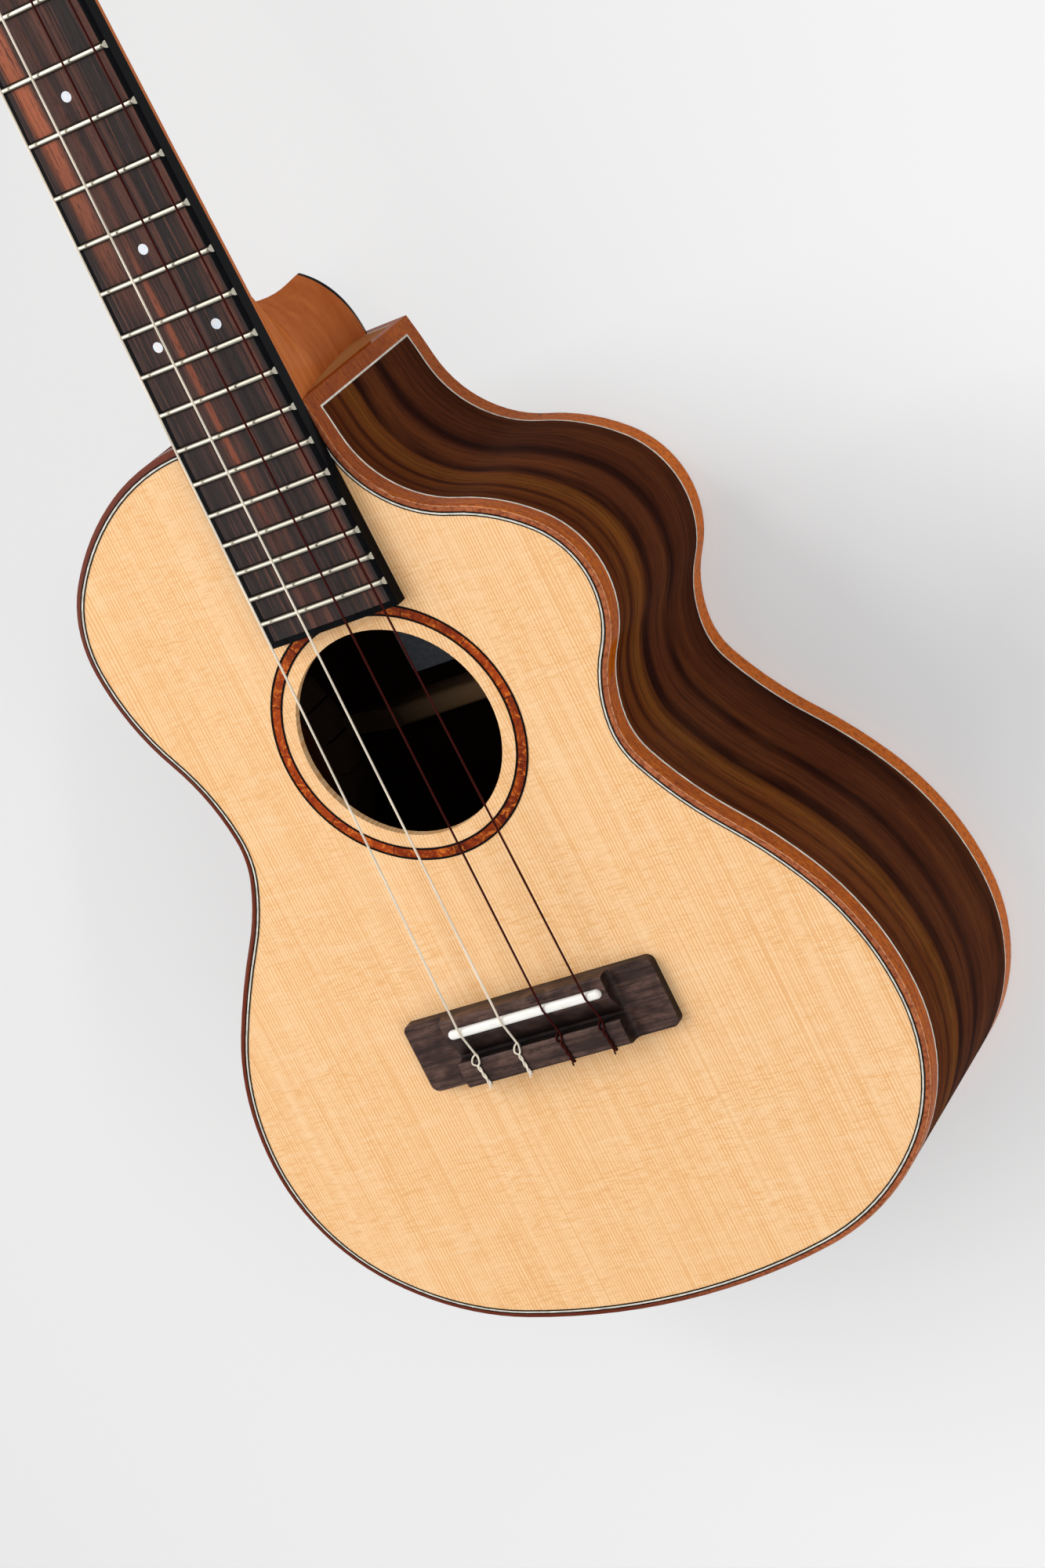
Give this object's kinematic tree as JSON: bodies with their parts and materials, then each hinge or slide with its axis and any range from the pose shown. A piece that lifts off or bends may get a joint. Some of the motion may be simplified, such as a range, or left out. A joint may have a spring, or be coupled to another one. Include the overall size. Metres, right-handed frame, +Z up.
{
  "type": "tenor cutaway ukulele",
  "caption": "Small fretted string instrument with a waisted wooden sound box, a soft cutaway, a tie bridge, a fretted neck and worm-geared tuners on an angled headstock.",
  "frame": {"origin": "on the back's outer face, on the centreline, in the middle of the sound box's length; the face is the mount rest_face", "axes": "+Z up out of the soundboard, square to the back; +Y along the neck towards the headstock; +X towards the treble side, where the cutaway is"},
  "size_m": [0.2308, 0.6707, 0.0914],
  "materials": {
    "spruce": "gloss lacquer",
    "side_rosewood": "gloss lacquer",
    "binding_wood": "gloss lacquer",
    "black_trim": "satin",
    "white_trim": "gloss lacquer",
    "mahogany": "satin lacquer",
    "lining_wood": "raw",
    "brace_wood": "raw",
    "rosette_wood": "gloss lacquer",
    "label_paper": "matt paper",
    "dark_rosewood": "satin oil",
    "bone": "polished",
    "fret_nickel": "polished",
    "pearl": "polished",
    "string_dark": "smooth",
    "string_clear": "smooth",
    "machine_nickel": "polished",
    "button_black": "polished"
  },
  "bodies": {
    "root": {"soundboard": "spruce", "back_plate": "side_rosewood", "back_strip": "binding_wood", "side_bass": "side_rosewood", "side_treble": "side_rosewood", "tail_wedge": "binding_wood", "cutaway_strip": "binding_wood", "top_binding": "binding_wood", "back_binding": "binding_wood", "purfling_black": "black_trim", "purfling_white": "white_trim", "side_lines": "white_trim", "neck_block": "mahogany", "tail_block": "mahogany", "top_lining": "lining_wood", "back_lining": "lining_wood", "transverse_braces": "brace_wood", "fan_braces": "brace_wood", "bridge_plate": "brace_wood", "back_braces": "brace_wood", "rosette_ring": "rosette_wood", "rosette_lines": "black_trim", "label": "label_paper", "bridge": "dark_rosewood", "saddle": "bone", "neck": "mahogany", "heel_cap": "black_trim", "headstock_veneer": "dark_rosewood", "fretboard": "dark_rosewood", "fretboard_binding": "black_trim", "frets": "fret_nickel", "position_dots": "pearl", "side_dots": "pearl", "nut": "bone", "string_1": "string_dark", "string_2": "string_dark", "string_3": "string_clear", "string_4": "string_clear", "tuner_plates": "machine_nickel", "tuner_bushings": "machine_nickel", "tuner_screws": "machine_nickel"},
    "post_1": {"tuner_post_1": "machine_nickel", "winding_1": "string_dark"},
    "peg_1": {"tuner_worm_1": "machine_nickel", "tuner_button_1": "button_black"},
    "post_2": {"tuner_post_2": "machine_nickel", "winding_2": "string_dark"},
    "peg_2": {"tuner_worm_2": "machine_nickel", "tuner_button_2": "button_black"},
    "post_3": {"tuner_post_3": "machine_nickel", "winding_3": "string_clear"},
    "peg_3": {"tuner_worm_3": "machine_nickel", "tuner_button_3": "button_black"},
    "post_4": {"tuner_post_4": "machine_nickel", "winding_4": "string_clear"},
    "peg_4": {"tuner_worm_4": "machine_nickel", "tuner_button_4": "button_black"}
  },
  "joints": [
    {"name": "peg_1_turn", "type": "hinge", "parent": "root", "child": "peg_1", "pos_m": [0.0195, 0.43744, 0.03241], "axis": [1, 0, 0], "continuous": true},
    {"name": "post_1_turn", "type": "hinge", "parent": "root", "child": "post_1", "pos_m": [0.0195, 0.435, 0.05243], "axis": [0, 0.2467, 0.9691], "continuous": true},
    {"name": "peg_2_turn", "type": "hinge", "parent": "root", "child": "peg_2", "pos_m": [0.0195, 0.48202, 0.02106], "axis": [1, 0, 0], "continuous": true},
    {"name": "post_2_turn", "type": "hinge", "parent": "root", "child": "post_2", "pos_m": [0.0195, 0.47958, 0.04108], "axis": [0, 0.2467, 0.9691], "continuous": true},
    {"name": "peg_3_turn", "type": "hinge", "parent": "root", "child": "peg_3", "pos_m": [-0.0195, 0.48202, 0.02106], "axis": [-1, 0, 0], "continuous": true},
    {"name": "post_3_turn", "type": "hinge", "parent": "root", "child": "post_3", "pos_m": [-0.0195, 0.47958, 0.04108], "axis": [0, 0.2467, 0.9691], "continuous": true},
    {"name": "peg_4_turn", "type": "hinge", "parent": "root", "child": "peg_4", "pos_m": [-0.0195, 0.43744, 0.03241], "axis": [-1, 0, 0], "continuous": true},
    {"name": "post_4_turn", "type": "hinge", "parent": "root", "child": "post_4", "pos_m": [-0.0195, 0.435, 0.05243], "axis": [0, 0.2467, 0.9691], "continuous": true}
  ],
  "couplings": [
    {"joint": "post_1_turn", "follows": "peg_1_turn", "ratio": 0.071429},
    {"joint": "post_2_turn", "follows": "peg_2_turn", "ratio": 0.071429},
    {"joint": "post_3_turn", "follows": "peg_3_turn", "ratio": 0.071429},
    {"joint": "post_4_turn", "follows": "peg_4_turn", "ratio": 0.071429}
  ]
}
